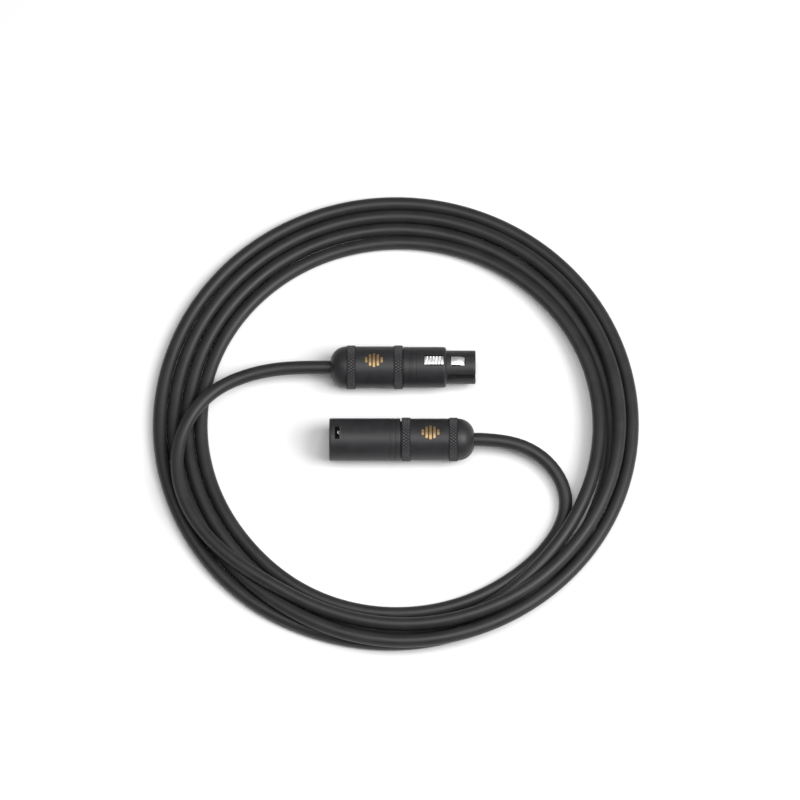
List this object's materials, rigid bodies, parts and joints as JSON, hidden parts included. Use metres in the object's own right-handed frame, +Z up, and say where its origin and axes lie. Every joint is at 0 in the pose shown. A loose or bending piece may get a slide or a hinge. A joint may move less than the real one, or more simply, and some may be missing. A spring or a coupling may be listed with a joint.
{
  "type": "microphone cable",
  "caption": "Balanced audio cable wound into a flat coil, with a latching socket connector on one end and a pin connector on the other",
  "frame": {"origin": "on the floor at the centre of the coil", "axes": "+Z up out of the coil, +X the way the female connector points, +Y away from the male connector"},
  "size_m": [0.232, 0.232, 0.0208],
  "materials": {
    "cord": "satin flexible jacket",
    "sleeve": "satin black, knurled grips",
    "shell": "satin black die casting",
    "insert": "moulded",
    "grommet": "matte",
    "silver_contact": "silver plated",
    "nickel": "bright nickel plate",
    "spring_steel": "rolled strip",
    "chuck": "natural acetal",
    "red_core": "insulation",
    "white_core": "insulation",
    "copper": "twisted strands",
    "gold_mark": "printed metallic mark"
  },
  "bodies": {
    "root": {"cable_coil": "cord", "female_lead": "cord", "male_lead": "cord", "female_shell": "shell", "female_insert": "insert", "female_contact_1": "silver_contact", "female_contact_2": "silver_contact", "female_contact_3": "silver_contact", "female_ground_spring": "spring_steel", "latch_pin": "nickel", "latch_spring": "spring_steel", "female_chuck": "chuck", "female_hot_core": "red_core", "female_cold_core": "white_core", "female_shield_wire": "copper", "male_shell": "shell", "male_insert": "insert", "male_pin_1": "silver_contact", "male_pin_2": "silver_contact", "male_pin_3": "silver_contact", "male_ground_spring": "spring_steel", "male_chuck": "chuck", "male_hot_core": "red_core", "male_cold_core": "white_core", "male_shield_wire": "copper"},
    "latch": {"latch_lever": "nickel"},
    "female_gland": {"female_grommet": "grommet"},
    "female_sleeve": {"female_barrel": "sleeve", "female_end_cap": "sleeve", "female_badge": "gold_mark"},
    "male_gland": {"male_grommet": "grommet"},
    "male_sleeve": {"male_barrel": "sleeve", "male_end_cap": "sleeve", "male_badge": "gold_mark"}
  },
  "joints": [
    {"name": "latch_press", "type": "hinge", "parent": "root", "child": "latch", "pos_m": [0.0109, 0.026, 0.0157], "axis": [0, 1, 0], "range_deg": [0, 4], "stiffness_Nm_per_rad": 0.15, "springref_deg": -1.15},
    {"name": "female_gland_slide", "type": "slide", "parent": "root", "child": "female_gland", "axis": [-1, 0, 0], "range_m": [0, 0.00375]},
    {"name": "female_barrel_turn", "type": "hinge", "parent": "female_gland", "child": "female_sleeve", "pos_m": [-0.0313, 0.026, 0.0104], "axis": [-1, 0, 0], "range_deg": [0, 1350]},
    {"name": "male_gland_slide", "type": "slide", "parent": "root", "child": "male_gland", "axis": [1, 0, 0], "range_m": [0, 0.00375]},
    {"name": "male_barrel_turn", "type": "hinge", "parent": "male_gland", "child": "male_sleeve", "pos_m": [0.037, -0.0108, 0.0104], "axis": [1, 0, 0], "range_deg": [0, 1350]}
  ],
  "couplings": [
    {"joint": "female_barrel_turn", "follows": "female_gland_slide", "rad_per_m": 6283.2},
    {"joint": "male_barrel_turn", "follows": "male_gland_slide", "rad_per_m": 6283.2}
  ]
}
